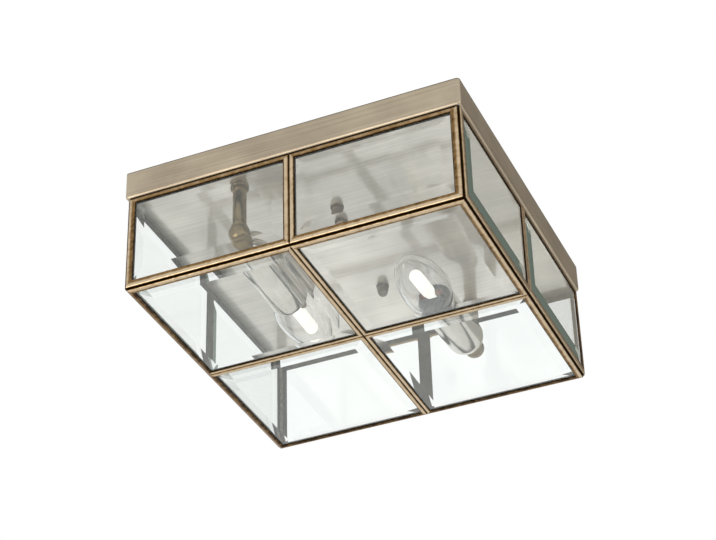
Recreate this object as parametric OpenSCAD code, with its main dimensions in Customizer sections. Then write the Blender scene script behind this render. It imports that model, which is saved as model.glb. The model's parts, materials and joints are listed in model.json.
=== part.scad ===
// Flush porch ceiling lantern: a brass ceiling pan carries two candle lamps, and a hinged
// cage of twelve bevelled panes in mitred channel frames closes over them from below.
// Millimetres. The origin is the middle of the ceiling fixing, the ceiling is the plane z = 0,
// the lantern hangs below it, X runs along the front and Y runs to the hinged back.

/* [Ceiling pan] */
// Side of the square pan
pan_side = 250; // [230:1:320]
// Height of the pan's skirt, ceiling to plate underside
pan_depth = 21.5; // [20:0.5:32]
// Thickness of the folded sheet
pan_wall = 1; // [0.8:0.1:1.4]
// Radius of the pan's upright corners
pan_corner_r = 2; // [1.5:0.25:5]
// Outside radius of the bend between plate and skirt
pan_bend_r = 2.5; // [1:0.25:3]

/* [Glazed cage] */
// How far the cage stands in from the pan's skirt on each side
cage_inset = 1.3; // [1:0.1:2]
// Height of the cage over its strips
cage_height = 75.5; // [72:0.5:110]
// Gap between the pan's plate and the top of the cage
cage_gap = 0.5; // [0.4:0.1:1]
// Width of one strip across the pane, round the side panels
side_strip_w = 4.2; // [3.2:0.1:5]
// Width of one strip across the pane, round the floor's panels
floor_strip_w = 3.6; // [3.2:0.1:5]
// How far a strip's inner flange stands past its outer one
flange_lap = 1; // [0:0.1:1.5]
// Thickness of one strip through the pane
strip_t = 2.7; // [2.6:0.1:3.6]
// Wall of the strip's folded channel
strip_wall = 0.45; // [0.3:0.05:0.45]
// Radius of the strip's outer shoulder
strip_round = 1.2; // [0.3:0.1:1.2]
// Leg of the solder fillet inside each edge of the cage
solder_leg = 1.6; // [0.8:0.1:2.4]

/* [Panes] */
// Thickness of the glass
glass_t = 2.8; // [2.4:0.1:4]
// Thickness of the glass at its bevelled edge
glass_edge_t = 1.7; // [1.2:0.1:1.7]
// Visible width of the bevel
bevel_w = 8; // [5:0.5:14]
// Gap between the pane's edge and the channel's web
pane_edge_gap = 0.3; // [0.1:0.1:0.6]

/* [Lamp arms] */
// Distance of each stem from the middle, along X
stem_x = 46.5; // [40:0.5:60]
// Distance of each stem's axis from the pan's front or back edge
stem_inset = 23; // [21:0.5:33]
// Outside diameter of the stem
stem_d = 9.6; // [8:0.1:11]
// Bore of the stem
stem_bore_d = 6.4; // [5.2:0.1:7]
// Length of stem inside the pan
stem_tail = 5; // [4:0.5:6]
// Diameter of the collar under the plate
collar_d = 12.8; // [12:0.1:16]
// Height of the collar
collar_h = 2.2; // [1.2:0.1:4]
// Diameter of the knuckle
ball_d = 15; // [14:0.5:18]
// Depth of the knuckle's middle below the plate
ball_drop = 39.5; // [36:0.5:42]
// Angle by which the lamps' axes dip below the level
lamp_droop = 3; // [0:0.5:4]
// Depth to which the stem enters the knuckle
stem_seat = 3.5; // [2:0.5:4]
// Diameter of the knuckle's nipple
nipple_d = 8; // [7:0.1:9]

/* [Lampholders] */
// Outside diameter of the metal cover
cover_d = 28; // [27:0.5:32]
// Wall of the metal cover
cover_wall = 0.8; // [0.5:0.1:1]
// Middle of the cover's round end, measured from the knuckle's middle
dome_reach = 21; // [21:0.5:23]
// How far the cover's rim stands past the neck of the lamp's glass
rim_lap = 11; // [8:0.5:11]
// Gap from the front of the insulating body to the neck of the lamp's glass
insert_setback = 0.5; // [0.5:0.1:2]
// Radial gap between the insulating body and the cover
insert_gap = 0.5; // [0.3:0.1:0.8]

/* [Lamps] */
// Neck of the lamp's glass, measured from the knuckle's middle
neck_reach = 68; // [67:0.5:72]
// Greatest diameter of the lamp
lamp_d = 35; // [30:0.5:37]
// Length of the lamp's glass
lamp_glass_l = 73; // [70:0.5:80]
// Wall of the lamp's glass
lamp_wall = 0.9; // [0.7:0.1:1.2]
// Part of the glass length, from its neck, where the lamp is widest
lamp_belly_l = 29; // [25:0.5:34]
// Diameter of the lamp's screw cap
cap_d = 14; // [13.6:0.1:14]
// Length of the lamp's screw cap, contact included
cap_l = 25; // [23:0.5:25]
// Diameter of the capsule inside the lamp
capsule_d = 9.6; // [7:0.1:11]
// Length of the capsule inside the lamp
capsule_l = 29; // [24:0.5:33]
// Gap between the capsule's tip and the lamp's tip
capsule_gap = 20; // [18:0.5:23]

/* [Ceiling fixing] */
// Width of the mounting strap
strap_w = 26; // [24:0.5:34]
// Length of the mounting strap
strap_l = 130; // [124:1:150]
// Thickness of the mounting strap
strap_t = 2; // [1.5:0.1:2.4]
// Drop of the strap's ends below the ceiling
strap_joggle = 3.5; // [3.5:0.1:4]
// Half length of the strap's middle, which lies on the ceiling
strap_flat = 36; // [32:1:38]
// Distance between the two ceiling screws
ceiling_screw_pitch = 50.8; // [44:0.2:56]
// Diameter of the ceiling screw holes
ceiling_screw_d = 4.5; // [3.5:0.1:6]
// Distance of each stud from the middle, along X
stud_x = 4.5; // [0:0.5:6]
// Distance of each stud from the middle, along Y
stud_y = 51.2; // [50:0.2:54]
// Diameter of the studs
stud_d = 4; // [3:0.1:4.2]
// Width of the plain nuts across their flats
nut_af = 7; // [6.5:0.5:8]
// Thickness of the plain nuts
nut_t = 3.2; // [2:0.1:3.4]
// Width of the cap nuts across their flats
cap_nut_af = 8; // [7:0.5:9]
// Height of the cap nuts
cap_nut_h = 8; // [8:0.5:10]
// Diameter of the washers under the cap nuts
washer_d = 9.6; // [8:0.2:14]
// Thickness of the washers
washer_t = 0.8; // [0.5:0.1:1.2]

/* [Hinge and catch] */
// Length of the hinge
hinge_l = 80; // [50:1:110]
// Outside diameter of the hinge's knuckles
hinge_d = 4; // [3.6:0.1:4]
// Diameter of the hinge pin
pin_d = 2; // [1.4:0.1:2]
// Thickness of the hinge leaves
leaf_t = 0.8; // [0.6:0.1:0.8]
// Height of the leaf on the pan's skirt
pan_leaf_h = 11; // [9:0.5:13]
// Diameter of the rivets through the pan's leaf
rivet_d = 2.4; // [2:0.1:3]
// Distance between neighbouring rivets
rivet_pitch = 28; // [14:1:30]
// Width of each catch spring
catch_w = 10; // [6:0.5:16]
// Distance of each catch spring from the middle
catch_x = 60; // [30:1:90]
// Thickness of the catch springs
catch_t = 0.4; // [0.3:0.05:0.5]
// Length of the catch spring's foot along the plate
catch_foot = 4.7; // [4:0.1:8]

/* [Wiring] */
// Distance of the terminal block from the middle, along X
block_x = 55; // [55:0.5:70]
// Length of the terminal block along its wires
block_l = 18; // [16:0.5:18]
// Height of the terminal block
block_h = 13; // [12:0.5:14]
// Distance between neighbouring terminals
terminal_pitch = 10; // [9:0.5:11]
// Diameter of the terminals' wire bores
terminal_d = 4; // [3.8:0.1:4.2]
// Depth of each wire bore
terminal_depth = 8; // [6:0.5:8]
// Diameter of the terminal screws
terminal_screw_d = 2.4; // [2:0.1:2.4]
// Diameter of the insulated wires
wire_d = 1.7; // [1.2:0.1:1.7]

/* [Hidden] */

// The eight side panels run round the cage, two to a side, and the bottom panels follow.
PANELS = ["front_left", "front_right", "right_front", "right_back", "back_right",
    "back_left", "left_back", "left_front", "bottom_front_left", "bottom_front_right",
    "bottom_back_left", "bottom_back_right"];
side_panels = 8;
// The second lamp is the first one turned about the middle.
LAMPS = ["left", "right"];

$fn = 64;
eps = 0.01;
antique_brass = "#8f7d5c";
strip_gold = "#b08d4f";
satin_nickel = "#c9c3b4";
zinc = "#b5b8ba";
clear_glass = "#d8e8e4";
solder_grey = "#8c8a80";
ivory = "#e8e2cf";

// Fits
slide_fit = 0.05;
turn_gap = 0.1;
hole_play = 0.3;

// Levels, downwards from the ceiling
plate_z = -pan_depth;
tray_z = plate_z + pan_wall;
cage_top = plate_z - cage_gap;
cage_bottom = cage_top - cage_height;
cage_floor = cage_bottom + strip_t;
ball_z = plate_z - ball_drop;

// Cage
cage_side = pan_side - 2 * cage_inset;
cage_inner = cage_side / 2 - strip_t;
panel_w = cage_inner;
side_h = cage_height - strip_t;
slot_t = strip_t - 2 * strip_wall;
pane_lift = strip_wall + (slot_t - glass_edge_t) / 2;
pane_inset = strip_wall + pane_edge_gap;

// Ceiling fixing
strap_end_top = -strap_joggle;
strap_end_bottom = strap_end_top - strap_t;
stud_head_h = 2.4;
stud_head_d = 7;
cap_nut_top = plate_z - washer_t - turn_gap;
stud_engage = 6;
stud_end = cap_nut_top - stud_engage;
cap_nut_skirt = 3.2;

// Hinge: knuckles alternate along the pin, the cage's leaf has the outer ones
hinge_parts = 5;
part_l = hinge_l / hinge_parts;
part_gap = 0.3;
hinge_clear = 0.4;
hinge_y = cage_side / 2 + leaf_t + hinge_clear + hinge_d / 2;
hinge_z = cage_top - hinge_d / 2;
cage_leaf_top = cage_top - 0.4;
cage_leaf_h = side_strip_w - 0.6;
rivet_z = plate_z + 7.5;
rivet_head_d = 4.4;
rivet_head_t = 0.7;
catch_gap = 0.3;
catch_drop = 3.8;

// Lamp arms and holders, measured from the knuckle's middle along the lamp axis
stem_y = pan_side / 2 - stem_inset;
stem_bottom = ball_z + ball_d / 2 - stem_seat;
stem_top = tray_z + stem_tail;
stem_nut_af = 14;
stem_nut_t = 3;
shoulder_d = nipple_d + 2;
cover_hole_d = nipple_d + 2 * turn_gap;
shoulder_reach = dome_reach - sqrt(pow(cover_d / 2, 2) - pow(cover_hole_d / 2, 2)) - slide_fit;
insert_d = cover_d - 2 * cover_wall - 2 * insert_gap;
insert_rear_d = 19;
insert_rear = dome_reach - 8;
nipple_reach = insert_rear + 4;
wire_bore_d = 5.2;
elbow_d = wire_bore_d + 0.8;
insert_reach = neck_reach - insert_setback;
rim_reach = neck_reach + rim_lap;
contact_reach = neck_reach - cap_l;
contact_d = 5;
contact_h = 3;
contact_l = 8;
contact_seat_d = 6;
cap_bore_start = contact_reach - 0.5;

// Wiring
block_base = tray_z;
block_axis_z = block_base + block_h / 2;
block_w = 3 * terminal_pitch + 4;
screw_inset = 4;
live_z = block_axis_z + 3.2;
neutral_z = block_axis_z - 3.2;
wire_apart = 1.1;
wire_layer = wire_d / 2 + 0.1;
lead_x = block_x - block_l / 2;
earth_post_x = 28;
earth_post_top = -8;
earth_tag_d = 10;
earth_tag_t = 1;

// Square with round corners, made of true arcs.
module round_square(side, r) {
    square([side, side - 2 * r], center = true);
    square([side - 2 * r, side], center = true);
    for (x = [-1, 1], y = [-1, 1])
        translate([x * (side / 2 - r), y * (side / 2 - r)]) circle(r);
}

// Section of a tray or strip: width across, height up, the two upper corners rounded.
module shouldered(width, height, r) {
    translate([-width / 2, 0]) square([width, height - r]);
    translate([-width / 2 + r, 0]) square([width - 2 * r, height]);
    for (x = [-1, 1]) translate([x * (width / 2 - r), height - r]) circle(r);
}

// Block whose four upper edges are rounded.
module cushion_block(w, h, t, r) {
    intersection() {
        translate([0, h / 2, 0]) rotate([90, 0, 0]) linear_extrude(h) shouldered(w, t, r);
        translate([-w / 2, 0, 0]) rotate([90, 0, 90]) linear_extrude(w) shouldered(h, t, r);
    }
}

module tray_form(side, depth, corner_r, bend_r) {
    intersection() {
        mirror([0, 0, 1]) cushion_block(side, side, depth, bend_r);
        translate([0, 0, -depth]) linear_extrude(depth) round_square(side, corner_r);
    }
}

module at_studs() {
    for (s = [-1, 1]) translate([-s * stud_x, s * stud_y, 0]) children();
}

module at_lamp(turn) {
    rotate(turn) translate([-stem_x, -stem_y, 0]) children();
}

// Turns what is drawn along +Z, from the knuckle's middle, onto the lamp axis.
module along_lamp(turn) {
    at_lamp(turn) translate([0, 0, ball_z]) rotate([-90 - lamp_droop, 0, 0]) children();
}

module hex_prism(across_flats, height) {
    cylinder(h = height, d = across_flats / cos(30), $fn = 6);
}

module tube_ring(outer_d, inner_d, height) {
    difference() {
        cylinder(h = height, d = outer_d);
        translate([0, 0, -eps]) cylinder(h = height + 2 * eps, d = inner_d);
    }
}

module ceiling_pan() {
    color(antique_brass) difference() {
        tray_form(pan_side, pan_depth, pan_corner_r, pan_bend_r);
        translate([0, 0, eps])
            tray_form(pan_side - 2 * pan_wall, pan_depth - pan_wall + eps,
                pan_corner_r - pan_wall, pan_bend_r - pan_wall / 2);
        at_studs() translate([0, 0, plate_z - 1])
            cylinder(h = pan_wall + 2, d = stud_d + 2 * hole_play);
        for (i = [0:1]) at_lamp(180 * i) translate([0, 0, plate_z - 1])
            cylinder(h = pan_wall + 2, d = stem_d + 2 * slide_fit);
        at_rivets() translate([0, -pan_wall - 1, 0]) rotate([-90, 0, 0])
            cylinder(h = pan_wall + 2, d = rivet_d + 2 * slide_fit);
    }
}

module mounting_strap() {
    half = strap_l / 2;
    ramp = strap_flat + strap_joggle;
    upper = [[-half, strap_end_top], [-ramp, strap_end_top], [-strap_flat, 0],
        [strap_flat, 0], [ramp, strap_end_top], [half, strap_end_top]];
    lower = [for (i = [len(upper) - 1:-1:0]) upper[i] - [0, strap_t]];
    color(zinc) difference() {
        translate([-strap_w / 2, 0, 0]) rotate([90, 0, 90])
            linear_extrude(strap_w) polygon(concat(upper, lower));
        for (s = [-1, 1]) translate([0, s * ceiling_screw_pitch / 2, -strap_t - 1])
            cylinder(h = strap_t + 2, d = ceiling_screw_d);
        at_studs() translate([0, 0, strap_end_bottom - 1])
            cylinder(h = strap_t + 2, d = stud_d + 2 * slide_fit);
    }
}

module strap_studs() {
    color(zinc) at_studs() {
        translate([0, 0, strap_end_top]) cylinder(h = stud_head_h, d = stud_head_d);
        translate([0, 0, stud_end]) cylinder(h = strap_end_top - stud_end + eps, d = stud_d);
    }
}

// Plain nuts: one under the strap on each stud, two on the earth post.
module plain_nut() {
    difference() {
        hex_prism(nut_af, nut_t);
        translate([0, 0, -1]) cylinder(h = nut_t + 2, d = stud_d + 2 * slide_fit);
    }
}

module plain_nuts() {
    color(zinc) {
        at_studs() translate([0, 0, strap_end_bottom - nut_t]) plain_nut();
        translate([earth_post_x, 0, tray_z]) plain_nut();
        translate([earth_post_x, 0, tray_z + nut_t + earth_tag_t]) plain_nut();
    }
}

module cap_nut_washers() {
    color(antique_brass) at_studs() translate([0, 0, plate_z - washer_t])
        tube_ring(washer_d, stud_d + 2 * hole_play, washer_t);
}

// Closed nut: a hexagon below the plate that ends in a dome.
module cap_nut(s) {
    dome_d = cap_nut_af - 0.6;
    color(antique_brass) translate([-s * stud_x, s * stud_y, cap_nut_top]) difference() {
        union() {
            translate([0, 0, -cap_nut_skirt]) hex_prism(cap_nut_af, cap_nut_skirt);
            translate([0, 0, dome_d / 2 - cap_nut_h])
                cylinder(h = cap_nut_h - dome_d / 2 - eps, d = dome_d);
            translate([0, 0, dome_d / 2 - cap_nut_h]) sphere(d = dome_d);
        }
        translate([0, 0, -stud_engage - hole_play])
            cylinder(h = stud_engage + 1, d = stud_d + 2 * slide_fit);
        cylinder(h = dome_d, d = 2 * cap_nut_af);
    }
}

module at_terminals() {
    for (way = [-1:1]) translate([block_x, way * terminal_pitch, 0]) children();
}

module at_terminal_screws() {
    at_terminals() for (s = [-1, 1])
        translate([s * (block_l / 2 - screw_inset), 0, 0]) children();
}

module terminal_block() {
    rib_w = terminal_pitch - 1.5;
    color(ivory) difference() {
        union() {
            translate([block_x - block_l / 2, -block_w / 2, block_base])
                cube([block_l, block_w, 0.7 * block_h]);
            at_terminals() translate([-block_l / 2, -rib_w / 2, block_base])
                cube([block_l, rib_w, block_h]);
        }
        at_terminals() for (s = [-1, 1])
            translate([s * (block_l / 2 + 1), 0, block_axis_z]) rotate([0, -90 * s, 0])
                cylinder(h = terminal_depth + 1, d = terminal_d);
        at_terminal_screws() translate([0, 0, block_axis_z])
            cylinder(h = block_h, d = terminal_screw_d + 2 * slide_fit);
    }
}

module terminal_screws() {
    screw_bottom = block_axis_z + terminal_d / 2;
    color(zinc) at_terminal_screws() translate([0, 0, screw_bottom])
        cylinder(h = block_base + block_h - screw_bottom, d = terminal_screw_d);
}

// Tube swept along a route: a ring of points at each stop, square to the mean direction.
function unit(v) = v / norm(v);
function heading(route, i) =
    unit(route[min(i + 1, len(route) - 1)] - route[max(i - 1, 0)]);
function across(d) = unit(cross(d, abs(d[2]) > 0.7 ? [1, 0, 0] : [0, 0, 1]));
function ring_point(centre, d, r, a) =
    centre + r * (cos(a) * across(d) + sin(a) * cross(d, across(d)));

module swept_tube(route, d) {
    sides = 8;
    stops = len(route);
    points = [for (i = [0:stops - 1], k = [0:sides - 1])
        ring_point(route[i], heading(route, i), d / 2, 360 * k / sides)];
    start_cap = [[for (k = [0:sides - 1]) k]];
    end_cap = [[for (k = [sides - 1:-1:0]) (stops - 1) * sides + k]];
    walls = [for (i = [0:stops - 2], k = [0:sides - 1])
        let (a = i * sides + k, b = i * sides + (k + 1) % sides)
        each [[a, a + sides, b + sides], [a, b + sides, b]]];
    polyhedron(points, concat(start_cap, walls, end_cap));
}

// Both leads of a pair leave one bore of the block, above and below its axis.
function from_block(way, layer) = [
    [lead_x + 5, way * terminal_pitch, block_axis_z + layer * wire_layer],
    [lead_x - 2, way * terminal_pitch, block_axis_z + layer * wire_layer]];

// Last stretch of a lead: over the end of the stem, down it, round the knuckle and into
// the holder. side is -1 or 1, the lead's side of the stem's axis.
function into_lamp(turn, side, level) = let (
    x = -stem_x + side * wire_apart,
    drop = 22 * sin(lamp_droop),
    stops = [[x, 7 - stem_y, level], [x, 2.5 - stem_y, level], [x, -stem_y, level - 2],
        [x, -stem_y, ball_z + 2.5], [x, 2.5 - stem_y, ball_z],
        [x, 22 - stem_y, ball_z - drop]])
    [for (p = stops) turn == 0 ? p : [-p[0], -p[1], p[2]]];

module live_leads() {
    to_left = [[38, -13, live_z], [20, -32, live_z], [-15, -62, live_z], [-38, -84, live_z]];
    to_right = [[38, -5, live_z], [38, 12, live_z], [40, 40, live_z], [43, 84, live_z]];
    color("#6b3f26") {
        swept_tube(concat(from_block(-1, 1), to_left, into_lamp(0, 1, live_z)), wire_d);
        swept_tube(concat(from_block(-1, -1), to_right, into_lamp(180, 1, live_z)), wire_d);
    }
}

module neutral_leads() {
    low = neutral_z;
    over_stem = stem_top + 2.5;
    to_left = [[39, 6, low], [39, -13, low], [20, -32, low], [-15, -62, low], [-36, -84, low]];
    to_right = [[38, 14, low], [40, 40, low], [44, 84, low]];
    color("#3f6fae") {
        swept_tube(concat(from_block(1, -1), to_left, into_lamp(0, -1, over_stem)), wire_d);
        swept_tube(concat(from_block(1, 1), to_right, into_lamp(180, -1, over_stem)), wire_d);
    }
}

module earth_post() {
    color(zinc) translate([earth_post_x, 0, tray_z])
        cylinder(h = earth_post_top - tray_z, d = stud_d);
}

module earth_lead() {
    tag_z = tray_z + nut_t;
    tag_mid = tag_z + earth_tag_t / 2;
    tag_edge = earth_post_x + earth_tag_d / 2;
    route = [[lead_x + 5, 0, block_axis_z], [tag_edge + 6, 0, block_axis_z],
        [tag_edge + 3, 0, tag_mid], [tag_edge - 0.5, 0, tag_mid]];
    color("#7a9a3c") {
        translate([earth_post_x, 0, tag_z])
            tube_ring(earth_tag_d, stud_d + 2 * slide_fit, earth_tag_t);
        swept_tube(route, wire_d);
    }
}

module at_rivets() {
    for (i = [-1:1]) translate([i * rivet_pitch, pan_side / 2, rivet_z]) children();
}

// The knuckles with an even or an odd place along the pin.
module at_hinge_parts(odd) {
    for (i = [0:hinge_parts - 1]) if (i % 2 == odd)
        translate([-hinge_l / 2 + i * part_l + part_gap / 2, 0, 0]) children();
}

module hinge_barrel(odd) {
    at_hinge_parts(odd) translate([0, hinge_y, hinge_z]) rotate([0, 90, 0])
        cylinder(h = part_l - part_gap, d = hinge_d);
}

module hinge_bore() {
    translate([-hinge_l, hinge_y, hinge_z]) rotate([0, 90, 0])
        cylinder(h = 2 * hinge_l, d = pin_d + 2 * slide_fit);
}

module hinge_pan_leaf() {
    leaf_bottom = hinge_z + hinge_d / 2 + hinge_clear;
    color(strip_gold) difference() {
        union() {
            translate([-hinge_l / 2, pan_side / 2, leaf_bottom])
                cube([hinge_l, leaf_t, pan_leaf_h]);
            at_hinge_parts(1) translate([0, pan_side / 2, hinge_z])
                cube([part_l - part_gap, leaf_t, leaf_bottom - hinge_z + eps]);
            hinge_barrel(1);
        }
        hinge_bore();
        at_rivets() translate([0, -1, 0]) rotate([-90, 0, 0])
            cylinder(h = leaf_t + 2, d = rivet_d + 2 * slide_fit);
    }
}

module hinge_cage_leaf() {
    color(strip_gold) difference() {
        union() {
            translate([-hinge_l / 2, cage_side / 2, cage_leaf_top - cage_leaf_h])
                cube([hinge_l, leaf_t, cage_leaf_h]);
            at_hinge_parts(0) translate([0, cage_side / 2 + eps, hinge_z - leaf_t / 2])
                cube([part_l - part_gap, hinge_y - cage_side / 2, leaf_t]);
            hinge_barrel(0);
        }
        hinge_bore();
    }
}

module hinge_pin() {
    color(zinc) translate([-hinge_l / 2, hinge_y, hinge_z]) rotate([0, 90, 0])
        cylinder(h = hinge_l, d = pin_d);
}

// Rivets through the skirt and the leaf, headed on both sides.
module hinge_rivets() {
    color(strip_gold) at_rivets() rotate([-90, 0, 0]) {
        translate([0, 0, -pan_wall]) cylinder(h = pan_wall + leaf_t, d = rivet_d);
        translate([0, 0, leaf_t]) cylinder(h = rivet_head_t, d = rivet_head_d);
        translate([0, 0, -pan_wall - rivet_head_t])
            cylinder(h = rivet_head_t, d = rivet_head_d);
    }
}

// Sprung angles under the plate, behind the cage's front strip.
module catch_springs() {
    color(antique_brass) for (s = [-1, 1])
        translate([s * catch_x - catch_w / 2, catch_gap - cage_inner, plate_z]) {
            translate([0, 0, -catch_t]) cube([catch_w, catch_foot, catch_t]);
            translate([0, 0, -catch_drop]) cube([catch_w, catch_t, catch_drop]);
        }
}

// Fillets in the four upright corners of the cage and round its floor.
module solder_seams() {
    leg = solder_leg;
    color(solder_grey) for (k = [0:3]) rotate(90 * k) {
        translate([-cage_inner, -cage_inner, cage_floor])
            linear_extrude(cage_top - cage_floor) polygon([[0, 0], [leg, 0], [0, leg]]);
        translate([-cage_inner, -cage_inner, cage_floor]) rotate([90, 0, 90])
            linear_extrude(2 * cage_inner) polygon([[0, 0], [leg, 0], [0, leg]]);
    }
}

module stem_collars() {
    rim = 0.6;
    color(antique_brass) for (i = [0:1]) at_lamp(180 * i)
        translate([0, 0, plate_z - collar_h]) difference() {
            union() {
                translate([0, 0, rim]) cylinder(h = collar_h - rim, d = collar_d);
                cylinder(h = rim, d1 = collar_d - 2 * rim, d2 = collar_d);
            }
            translate([0, 0, -1]) cylinder(h = collar_h + 2, d = stem_d + 2 * slide_fit);
        }
}

module stem_nuts() {
    color(zinc) for (i = [0:1]) at_lamp(180 * i) translate([0, 0, tray_z]) difference() {
        hex_prism(stem_nut_af, stem_nut_t);
        translate([0, 0, -1]) cylinder(h = stem_nut_t + 2, d = stem_d + 2 * slide_fit);
    }
}

module stem(turn) {
    color(antique_brass) at_lamp(turn) translate([0, 0, stem_bottom])
        tube_ring(stem_d, stem_bore_d, stem_top - stem_bottom);
}

// Ball that takes the stem from above and carries the lampholder on a hollow nipple.
module knuckle(turn) {
    color(antique_brass) difference() {
        union() {
            at_lamp(turn) translate([0, 0, ball_z]) sphere(d = ball_d);
            along_lamp(turn) cylinder(h = shoulder_reach, d = shoulder_d);
            along_lamp(turn) cylinder(h = nipple_reach, d = nipple_d);
        }
        at_lamp(turn) translate([0, 0, stem_bottom])
            cylinder(h = ball_d, d = stem_d + 2 * slide_fit);
        at_lamp(turn) translate([0, 0, ball_z]) cylinder(h = ball_d / 2, d = wire_bore_d);
        at_lamp(turn) translate([0, 0, ball_z]) sphere(d = elbow_d);
        along_lamp(turn) cylinder(h = nipple_reach + 1, d = wire_bore_d);
    }
}

module round_ended(d, end_reach, front_reach) {
    translate([0, 0, end_reach]) sphere(d = d);
    translate([0, 0, end_reach]) cylinder(h = front_reach - end_reach, d = d);
}

module holder_cover(turn) {
    color(satin_nickel) along_lamp(turn) difference() {
        round_ended(cover_d, dome_reach, rim_reach);
        round_ended(cover_d - 2 * cover_wall, dome_reach, rim_reach + 1);
        cylinder(h = dome_reach, d = cover_hole_d);
    }
}

// Insulating body: it screws onto the nipple and takes the lamp's cap in front.
module holder_insert(turn) {
    sleeve_start = dome_reach + 3;
    color(ivory) along_lamp(turn) difference() {
        union() {
            translate([0, 0, insert_rear])
                cylinder(h = sleeve_start - insert_rear + 1, d = insert_rear_d);
            translate([0, 0, sleeve_start])
                cylinder(h = insert_reach - sleeve_start, d = insert_d);
        }
        translate([0, 0, insert_rear - 1]) cylinder(h = insert_reach, d = contact_seat_d);
        translate([0, 0, insert_rear - 1])
            cylinder(h = nipple_reach - insert_rear + 1 + slide_fit, d = nipple_d + 2 * slide_fit);
        translate([0, 0, cap_bore_start]) cylinder(h = insert_reach, d = cap_d + 2 * slide_fit);
    }
}

module holder_contacts() {
    color(strip_gold) for (i = [0:1]) along_lamp(180 * i)
        translate([0, 0, contact_reach - turn_gap - contact_l])
            cylinder(h = contact_l, d = contact_seat_d - 2 * slide_fit);
}

module lamp_cap(turn) {
    color(strip_gold) along_lamp(turn) {
        translate([0, 0, contact_reach + contact_h])
            cylinder(h = cap_l - contact_h, d = cap_d);
        translate([0, 0, contact_reach]) cylinder(h = contact_h + eps, d = contact_d);
    }
}

// Radius of a candle lamp at s along its glass: a sine swells from the neck to the belly,
// and a flattened circle closes from the belly to the tip.
function candle_r(s, neck_r, belly_r, length) = s < lamp_belly_l
    ? neck_r + (belly_r - neck_r) * pow(sin(90 * s / lamp_belly_l), 1.2)
    : belly_r * pow(max(0, 1 - pow((s - lamp_belly_l) / (length - lamp_belly_l), 2)), 0.6);
function candle_stops(length) = let (steps = 12) concat(
    [for (k = [0:steps - 1]) lamp_belly_l * k / steps],
    [for (k = [0:steps]) lamp_belly_l + (length - lamp_belly_l) * sin(90 * k / steps)]);
function candle_line(neck_r, belly_r, length) = [for (s = candle_stops(length))
    [candle_r(s, neck_r, belly_r, length), s]];

module lamp_envelope(turn) {
    outer = candle_line(cap_d / 2, lamp_d / 2, lamp_glass_l);
    inner = candle_line(cap_d / 2 - lamp_wall, lamp_d / 2 - lamp_wall,
        lamp_glass_l - lamp_wall);
    inner_back = [for (i = [len(inner) - 1:-1:0]) inner[i]];
    color(clear_glass, 0.4) along_lamp(turn) translate([0, 0, neck_reach])
        rotate_extrude() polygon(concat(outer, inner_back));
}

// Inner capsule on its pinch and two support wires, which stand on the lamp's cap.
module lamp_capsule(turn) {
    tip = lamp_glass_l - capsule_gap;
    foot = tip - capsule_l;
    pinch = [7, 2.6, 8];
    wire_post_d = 1.2;
    color("#f4f4ec") along_lamp(turn) translate([0, 0, neck_reach]) {
        translate([0, 0, tip - capsule_d / 2]) sphere(d = capsule_d);
        translate([0, 0, foot]) cylinder(h = capsule_l - capsule_d / 2, d = capsule_d);
        translate([-pinch[0] / 2, -pinch[1] / 2, foot + 1 - pinch[2]]) cube(pinch);
        for (s = [-1, 1]) translate([s * 2.2, 0, 0])
            cylinder(h = foot - pinch[2] + 2, d = wire_post_d);
    }
}

// Outer size of a panel's frame, width and height, and the width of its strip.
function panel_size(i) = [panel_w, i < side_panels ? side_h : panel_w];
function strip_w(i) = i < side_panels ? side_strip_w : floor_strip_w;

// Places what is drawn flat, with its outer face up, in panel i of the cage.
module at_panel(i) {
    if (i < side_panels) {
        rotate(90 * floor(i / 2)) translate([(i % 2 - 0.5) * panel_w, -cage_inner,
            (cage_top + cage_floor) / 2]) rotate([90, 0, 0]) children();
    } else {
        place = i - side_panels;
        translate([(place % 2 - 0.5) * panel_w, (floor(place / 2) - 0.5) * panel_w,
            cage_floor]) rotate([180, 0, 0]) children();
    }
}

// Block that clears a panel inside a border, from one level up.
module inside_panel(i, border, level, height) {
    size = panel_size(i);
    translate([border - size[0] / 2, border - size[1] / 2, level])
        cube([size[0] - 2 * border, size[1] - 2 * border, height]);
}

// Channel strip folded round a pane, closed at its mitres, with the wider flange inside.
module panel_frame(i) {
    color(strip_gold) at_panel(i) difference() {
        cushion_block(panel_size(i)[0], panel_size(i)[1], strip_t, strip_round);
        inside_panel(i, strip_wall, strip_wall, slot_t);
        inside_panel(i, strip_w(i), strip_wall, strip_t);
        inside_panel(i, strip_w(i) + flange_lap, -1, 1 + strip_t / 2);
    }
}

// Section of a bevelled pane: a thin rim that sits in the channel, then the bevel.
module bevel_section(width, rim) {
    half = width / 2;
    shoulder = half - rim;
    crown = shoulder - bevel_w;
    polygon([[-half, 0], [half, 0], [half, glass_edge_t], [shoulder, glass_edge_t],
        [crown, glass_t], [-crown, glass_t], [-shoulder, glass_edge_t],
        [-half, glass_edge_t]]);
}

module panel_pane(i) {
    w = panel_size(i)[0] - 2 * pane_inset;
    h = panel_size(i)[1] - 2 * pane_inset;
    rim = strip_w(i) - pane_inset;
    color(clear_glass, 0.3) at_panel(i) translate([0, 0, pane_lift]) intersection() {
        translate([0, h / 2, 0]) rotate([90, 0, 0]) linear_extrude(h) bevel_section(w, rim);
        translate([-w / 2, 0, 0]) rotate([90, 0, 90]) linear_extrude(w) bevel_section(h, rim);
    }
}

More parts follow.
